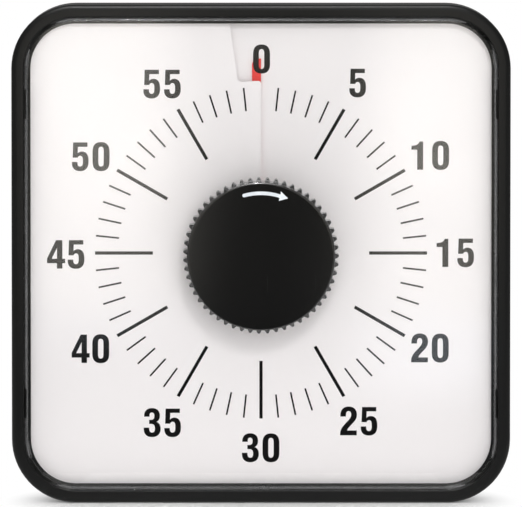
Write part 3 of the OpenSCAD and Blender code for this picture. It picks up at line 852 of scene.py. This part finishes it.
@dataclass
class DialScale:
    """The scale printed on the back of the clear cover."""

    outer_r: float = 63.4
    minor_r: float = 54.5
    major_r: float = 41.3
    minor_w: float = 0.66
    major_w: float = 1.25
    depth: float = 2.405
    ink: float = 0.02
    raised: float = 0.35
    advance: float = 7.9
    minute: float = 6.0
    five_minutes: float = 30.0
    numerals: tuple[Numeral, ...] = (
        Numeral("0", 0.2, 74.1),
        Numeral("5", 36.85, 65.0),
        Numeral("10", 64.6, 37.3),
        Numeral("15", 74.25, 0.1),
        Numeral("20", 64.55, -36.4),
        Numeral("25", 37.4, -64.4),
        Numeral("30", -0.15, -74.65),
        Numeral("35", -37.7, -65.0),
        Numeral("40", -65.2, -36.65),
        Numeral("45", -74.55, -0.5),
        Numeral("50", -65.0, 36.85),
        Numeral("55", -37.7, 64.6),
    )

    def bar(self, shape: bmesh.types.BMesh, inner: float, width: float, clockwise: float) -> list[Any]:
        """Adds one tick to a bmesh.

        Args:
            shape: The bmesh.
            inner: The radius of its inner end.
            width: Its width.
            clockwise: Its direction from 12 o'clock in degrees.

        Returns:
            Its vertices, edges and faces.
        """
        length = self.outer_r - inner
        size = Matrix.Diagonal((width, length, self.ink, 1.0))
        up = Matrix.Translation((0.0, inner + length / 2, 0.0))
        turn = Matrix.Rotation(math.radians(-clockwise), 4, "Z")
        made = bmesh.ops.create_cube(shape, size=1.0, matrix=turn @ up @ size)
        faces = {face for vert in made["verts"] for face in vert.link_faces}
        edges = {edge for vert in made["verts"] for edge in vert.link_edges}
        return [*made["verts"], *edges, *faces]

    def ticks(self) -> bpy.types.Object:
        """Builds every tick: 48 short ones and 11 long ones, with none at 0."""
        shape = bmesh.new()
        rows = [(self.minor_r, self.minor_w, self.minute * count, 11) for count in (1, 2, 3, 4)]
        rows.append((self.major_r, self.major_w, self.five_minutes, 10))
        for inner, width, clockwise, copies in rows:
            bmesh.ops.spin(
                shape,
                geom=self.bar(shape, inner, width, clockwise),
                cent=(0.0, 0.0, 0.0),
                axis=(0.0, 0.0, -1.0),
                angle=math.radians(self.five_minutes * copies),
                steps=copies,
                use_duplicate=True,
            )
        place = FRONT.flat(self.depth + self.ink / 2, 0.0, self.raised)
        bmesh.ops.transform(shape, matrix=place, verts=shape.verts)
        return new_piece("scale_ticks", shape)

    def numbers(self) -> bpy.types.Object:
        """Builds the twelve numbers as one piece."""
        whole = bpy.data.meshes.new("scale_numerals")
        joined = bmesh.new()
        for numeral in self.numerals:
            span = self.advance * (len(numeral.text) - 1) + DIGIT_WIDTH["0"]
            for index, digit in enumerate(numeral.text):
                lone = len(numeral.text) == 1
                left = -DIGIT_WIDTH[digit] / 2 if lone else index * self.advance - span / 2
                shape = flat_shape(DIGITS[digit], self.ink, left, -DIGIT_HEIGHT / 2)
                place = FRONT.flat(self.depth + self.ink / 2, numeral.x, numeral.z + self.raised)
                bmesh.ops.transform(shape, matrix=place, verts=shape.verts)
                shape.to_mesh(whole)
                shape.free()
                joined.from_mesh(whole)
        bpy.data.meshes.remove(whole)
        return new_piece("scale_numerals", joined)

    def build(self, wardrobe: Wardrobe) -> None:
        """Makes and dresses the ticks and the numbers."""
        for piece in (self.ticks(), self.numbers()):
            piece.visible_shadow = piece.visible_diffuse = False
            wardrobe.dress(piece, SCALE_INK)
            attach(piece, "case")
            log.info("%s: %d faces", piece.name, len(piece.data.polygons))


# ---------------------------------------------------------------- knob


@dataclass
class TurningKnob:
    """The ribbed knob and the arrow printed on its face."""

    face_depth: float = -15.0
    arrow_r: float = 24.1
    stroke: float = 1.35
    tail_deg: float = -15.4
    neck_deg: float = 17.4
    tip_deg: float = 25.0
    head_w: float = 3.6
    tip_out: float = 0.3
    barb_out_deg: float = -0.5
    barb_in_deg: float = 0.4
    ink: float = 0.03
    lift: float = 0.002
    faces_viewer: float = -0.8

    def on_face(self, radius: float, clockwise: float) -> Step:
        """Gives a point of the face from its radius and clock angle."""
        t = math.radians(clockwise)
        return (radius * math.sin(t), radius * math.cos(t))

    def arrow(self) -> bpy.types.Object:
        """Builds the arrow: a bent stroke with a round tail and a pointed head."""
        inner, outer = self.arrow_r - self.stroke / 2, self.arrow_r + self.stroke / 2
        tail = self.on_face(self.arrow_r, self.tail_deg)
        loop = (
            self.on_face(inner, self.tail_deg),
            bend(tail, self.stroke / 2, self.tail_deg + 180, self.tail_deg + 270),
            bend(tail, self.stroke / 2, self.tail_deg + 270, self.tail_deg + 360),
            bend((0.0, 0.0), outer, self.tail_deg, self.neck_deg),
            self.on_face(self.arrow_r + self.head_w / 2, self.neck_deg + self.barb_out_deg),
            self.on_face(self.arrow_r + self.tip_out, self.tip_deg),
            self.on_face(self.arrow_r - self.head_w / 2, self.neck_deg + self.barb_in_deg),
            self.on_face(inner, self.neck_deg),
            bend((0.0, 0.0), inner, self.neck_deg, self.tail_deg),
        )
        shape = flat_shape((loop,), self.ink)
        place = FRONT.flat(self.face_depth - self.ink / 2 - self.lift)
        bmesh.ops.transform(shape, matrix=place, verts=shape.verts)
        return new_piece("turn_arrow", shape)

    def build(self, wardrobe: Wardrobe) -> None:
        """Makes and dresses the knob and its arrow."""
        cap = smooth_shell("knob_cap", "knob", 28.0)
        for face in cap.data.polygons:
            face.material_index = 0 if face.normal.y < self.faces_viewer else 1
        wardrobe.dress(cap, KNOB_BLACK, KNOB_SIDE)
        arrow = self.arrow()
        wardrobe.dress(arrow, ARROW_INK)
        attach(arrow, "spindle")
        log.info("knob: %d faces, arrow: %d faces", len(cap.data.polygons), len(arrow.data.polygons))


# ---------------------------------------------------------------- case


@dataclass
class CaseShell:
    """The outer shells, the clear cover, the feet and what holds them."""

    rim_half: float = 88.2
    shells: tuple[tuple[str, str, Finish, str], ...] = (
        ("front_shell", "front_frame", CASE_BLACK, "case_plastic"),
        ("rear_shell", "rear_cover", CASE_BLACK, "case_plastic"),
        ("foot_leaf_left", "left_foot", FOOT_BLACK, "case_plastic"),
        ("foot_leaf_right", "right_foot", FOOT_BLACK, "case_plastic"),
    )
    fittings: tuple[tuple[str, Finish], ...] = (
        ("case_screws", SCREW_BLACK),
        ("magnets", MAGNET_NICKEL),
        ("foot_pins", ARBOR_STEEL),
        ("panel_screws", SCREW_ZINC),
    )

    def pane(self) -> bpy.types.Object:
        """Makes the clear cover, with its moulded edge, which carries painted light, as a second slot."""
        pane = smooth_shell("clear_pane", "clear_cover")
        for face in pane.data.polygons:
            across = max(abs(face.center.x), abs(face.center.z - FRONT.centre_z)) * 1000
            face.material_index = 1 if across > self.rim_half else 0
        return pane

    def build(self, wardrobe: Wardrobe) -> None:
        """Makes and dresses the case."""
        for name, node, finish, slot in self.shells:
            shell = smooth_shell(name, node)
            wardrobe.dress(shell, finish)
            log.info("%s: %d faces", name, len(shell.data.polygons))
        pane = self.pane()
        wardrobe.dress(pane, COVER_CLEAR, COVER_EDGE)
        for node, finish in self.fittings:
            wardrobe.dress(frame["nodes"][node], finish)


@dataclass
class Internals:
    """The dial, the red disc, the movement and the striking work, which keep their CAD shapes."""

    finishes: tuple[tuple[Finish, tuple[str, ...]], ...] = (
        (DIAL_WHITE, ("dial_face",)),
        (SEAT_WHITE, ("dial_seat", "dial_panel")),
        (DISC_RED, ("time_disc", "disc_hub")),
        (GEAR_CREAM, ("great_wheel", "second_wheel", "third_wheel", "escape_wheel", "trip_cam")),
        (PLATE_STEEL, ("front_plate", "back_plate", "ratchet_wheel", "click", "pallet_lever", "hammer")),
        (
            ARBOR_STEEL,
            ("main_arbor", "second_arbor", "third_arbor", "escape_arbor", "balance_staff", "hammer_arbor"),
        ),
        (SCREW_ZINC, ("plate_pillars", "plate_nuts", "movement_screws", "spring_post", "bell_screw")),
        (SPRING_BLUE, ("mainspring", "click_spring", "hammer_spring")),
        (BUSH_BRASS, ("arbor_bushes", "balance_wheel")),
        (BELL_NICKEL, ("bell",)),
    )

    def build(self, wardrobe: Wardrobe) -> None:
        """Dresses each node."""
        for finish, nodes in self.finishes:
            for node in nodes:
                wardrobe.dress(frame["nodes"][node], finish)
            log.info("%s: %s", finish.name, ", ".join(nodes))


# ---------------------------------------------------------------- studio


class Reach(Enum):
    """What a lamp's light is seen in."""

    ALL = "everything"
    SURFACES = "the colour of surfaces, not their shine"
    GLINTS = "the shine of surfaces alone"


@dataclass(frozen=True)
class Lamp:
    """A soft square lamp that looks at the dial."""

    name: str
    place: tuple[float, float, float]
    side: float
    watts: float
    reach: Reach

    def hang(self) -> None:
        """Hangs the lamp in the scene."""
        data = bpy.data.lights.new(self.name, "AREA")
        data.shape = "SQUARE"
        data.size = self.side
        data.energy = self.watts
        lamp = bpy.data.objects.new(self.name, data)
        lamp.visible_diffuse = self.reach is not Reach.GLINTS
        lamp.visible_glossy = self.reach is not Reach.SURFACES
        lamp.location = self.place
        look = Vector((0.0, 0.0, FRONT.centre_z)) - Vector(self.place)
        lamp.rotation_euler = look.to_track_quat("-Z", "Y").to_euler()
        bpy.context.scene.collection.objects.link(lamp)


@dataclass(frozen=True)
class Patch:
    """A light patch on the card, by where the cover shows it, in metres from the dial's centre."""

    across: Span
    up: Span
    brighter: Span

    def light(self, x: Wire, z: Wire) -> Wire:
        """Gives the patch's light at a place."""
        return x.between(*self.across) * z.between(*self.up) * (1 + 0.5 * z.between(*self.brighter))


@dataclass
class Studio:
    """A pale floor, soft light, a card for the cover to mirror, and the camera."""

    distance: float = 3.0
    elevation: float = 3.4
    aim_above: float = 0.0003
    view_width: float = 0.1992
    sky: float = 0.38
    floor_r: float = 8.0
    floor_near: Colour = (0.94, 0.94, 0.94)
    floor_far: Colour = (0.97, 0.97, 0.97)
    floor_fade: Span = (0.068, 0.10)
    table_light: float = 0.48
    table_fade: Span = (0.7, 0.3)
    card_ahead: float = 0.10
    card_middle: float = 0.125
    card_size: Span = (0.34, 0.245)
    card_dark: float = 0.05
    card_bright: float = 1.35
    mirror_scale: float = 0.968
    mirror_drop: float = 0.0079
    left_patch: Patch = Patch((-0.012, -0.050), (-0.046, 0.006), (0.006, 0.04))
    right_patch: Patch = Patch((0.022, 0.062), (-0.062, -0.036), (0.01, 0.04))
    lamps: tuple[Lamp, ...] = (
        Lamp("key_lamp", (0.24, -2.25, 1.13), 0.30, 7.4, Reach.ALL),
        Lamp("fill_lamp", (0.16, -1.60, 0.50), 0.9, 8.3, Reach.SURFACES),
        Lamp("ceiling_lamp", (-0.1, -0.45, 1.30), 0.9, 11.0, Reach.GLINTS),
        Lamp("bulb", (-0.077, -0.38, 1.25), 0.05, 9.0, Reach.GLINTS),
    )

    def sky_light(self) -> None:
        """Lights the scene evenly from all sides, and shows white behind it."""
        world = bpy.data.worlds.new("sky")
        bpy.context.scene.world = world
        world.use_nodes = True
        nodes, links = world.node_tree.nodes, world.node_tree.links
        nodes.clear()
        path = nodes.new("ShaderNodeLightPath")
        seen = nodes.new("ShaderNodeMath")
        seen.operation = "MAXIMUM"
        links.new(path.outputs["Is Camera Ray"], seen.inputs[0])
        links.new(path.outputs["Is Transmission Ray"], seen.inputs[1])
        plain, shown = nodes.new("ShaderNodeBackground"), nodes.new("ShaderNodeBackground")
        plain.inputs["Strength"].default_value = self.sky
        plain.inputs["Color"].default_value = (1.0, 0.995, 0.99, 1.0)
        shown.inputs["Strength"].default_value = 1.0
        shown.inputs["Color"].default_value = (1.0, 1.0, 1.0, 1.0)
        mix = nodes.new("ShaderNodeMixShader")
        links.new(seen.outputs[0], mix.inputs[0])
        links.new(plain.outputs[0], mix.inputs[1])
        links.new(shown.outputs[0], mix.inputs[2])
        out = nodes.new("ShaderNodeOutputWorld")
        links.new(mix.outputs[0], out.inputs["Surface"])

    def floor(self) -> None:
        """Lays a pale floor, lit from below like a light table, that turns white away from the object."""
        shape = bmesh.new()
        bmesh.ops.create_circle(shape, cap_ends=True, radius=self.floor_r, segments=64)
        floor = new_piece("floor", shape)
        r = Recipe("floor_paint")
        x, y, _ = r.axes(r.place())
        away = (x * x + y * y) ** 0.5
        far = away.between(*self.floor_fade)
        shown = r.wire("ShaderNodeLightPath", output="Is Camera Ray")
        colour = r.blend(far, self.floor_near, self.floor_far)
        paint = r.node("ShaderNodeBsdfDiffuse", None, {"Color": colour})
        strength = away.between(*self.table_fade) * (1.0 - shown) * self.table_light
        table = r.node("ShaderNodeEmission", None, {"Strength": strength})
        lit = r.node("ShaderNodeAddShader", None, {0: paint.outputs[0], 1: table.outputs[0]})
        white = r.node("ShaderNodeEmission", None, {"Color": (1.0, 1.0, 1.0), "Strength": 1.0})
        mix = r.node("ShaderNodeMixShader", None, {0: shown * far, 1: lit.outputs[0], 2: white.outputs[0]})
        floor.data.materials.append(r.end(mix.outputs[0]))

    def card(self) -> None:
        """Stands a card in front that only mirrors show: dark, with lighter patches at its sides."""
        shape = bmesh.new()
        bmesh.ops.create_grid(shape, x_segments=1, y_segments=1, size=0.5)
        y = FRONT.front_y - self.card_ahead
        stand = Matrix.Translation((0.0, y, self.card_middle)) @ Matrix.Rotation(math.radians(90), 4, "X")
        stretch = Matrix.Diagonal((*self.card_size, 1.0, 1.0))
        bmesh.ops.transform(shape, matrix=stand @ stretch, verts=shape.verts)
        card = new_piece("mirror_card", shape)
        r = Recipe("card_light")
        x, _, z = r.axes(r.place(centre=(0.0, 0.0, FRONT.centre_z)))
        x, z = x * self.mirror_scale, (z + self.mirror_drop) * self.mirror_scale
        cloud = r.noise(r.place(), 0.05, 2.0)
        left, right = self.left_patch.light(x, z), self.right_patch.light(x, z)
        top = z.between(0.055, 0.085) * 0.35
        inside = abs(x).between(0.092, 0.079)
        glow = self.card_dark + ((left + right) * inside).largest(top) * (0.9 + cloud) * self.card_bright
        warm, cool = (1.0, 0.96, 0.88), (0.86, 0.92, 1.0)
        tint = r.blend(z.between(-0.01, -0.035), warm, cool)
        light = r.node("ShaderNodeEmission", None, {"Color": tint, "Strength": glow})
        clear = r.node("ShaderNodeBsdfTransparent")
        away = abs(x).between(0.105, 0.155).largest(z.between(0.10, 0.13))
        mix = r.node("ShaderNodeMixShader", None, {0: away, 1: light.outputs[0], 2: clear.outputs[0]})
        card.data.materials.append(r.end(mix.outputs[0]))
        card.visible_camera = card.visible_diffuse = card.visible_shadow = False
        card.visible_transmission = card.visible_volume_scatter = False

    def camera(self) -> None:
        """Sets the camera far in front and a little above the dial, which it looks at."""
        data = bpy.data.cameras.new("camera")
        data.sensor_width = 36.0
        data.lens = data.sensor_width * self.distance / self.view_width
        data.clip_start, data.clip_end = 0.1, 50.0
        camera = bpy.data.objects.new("camera", data)
        tilt = math.radians(self.elevation)
        camera.location = (
            0.0,
            FRONT.front_y - self.distance * math.cos(tilt),
            FRONT.centre_z + self.aim_above + self.distance * math.sin(tilt),
        )
        camera.rotation_euler = (math.radians(90) - tilt, 0.0, 0.0)
        bpy.context.scene.collection.objects.link(camera)
        bpy.context.scene.camera = camera

    def build(self) -> None:
        """Sets up the studio."""
        bpy.context.scene.view_settings.view_transform = "Standard"
        self.camera()
        self.sky_light()
        self.floor()
        self.card()
        for lamp in self.lamps:
            lamp.hang()
        log.info("studio: camera %.1f m away, %.1f degrees up", self.distance, self.elevation)


def main() -> None:
    """Builds the studio and every sub-assembly."""
    logging.basicConfig(level=logging.INFO, format="%(name)s: %(message)s")
    wardrobe = Wardrobe()
    Studio().build()
    CaseShell().build(wardrobe)
    TurningKnob().build(wardrobe)
    DialScale().build(wardrobe)
    Internals().build(wardrobe)


if __name__ == "__main__":
    main()
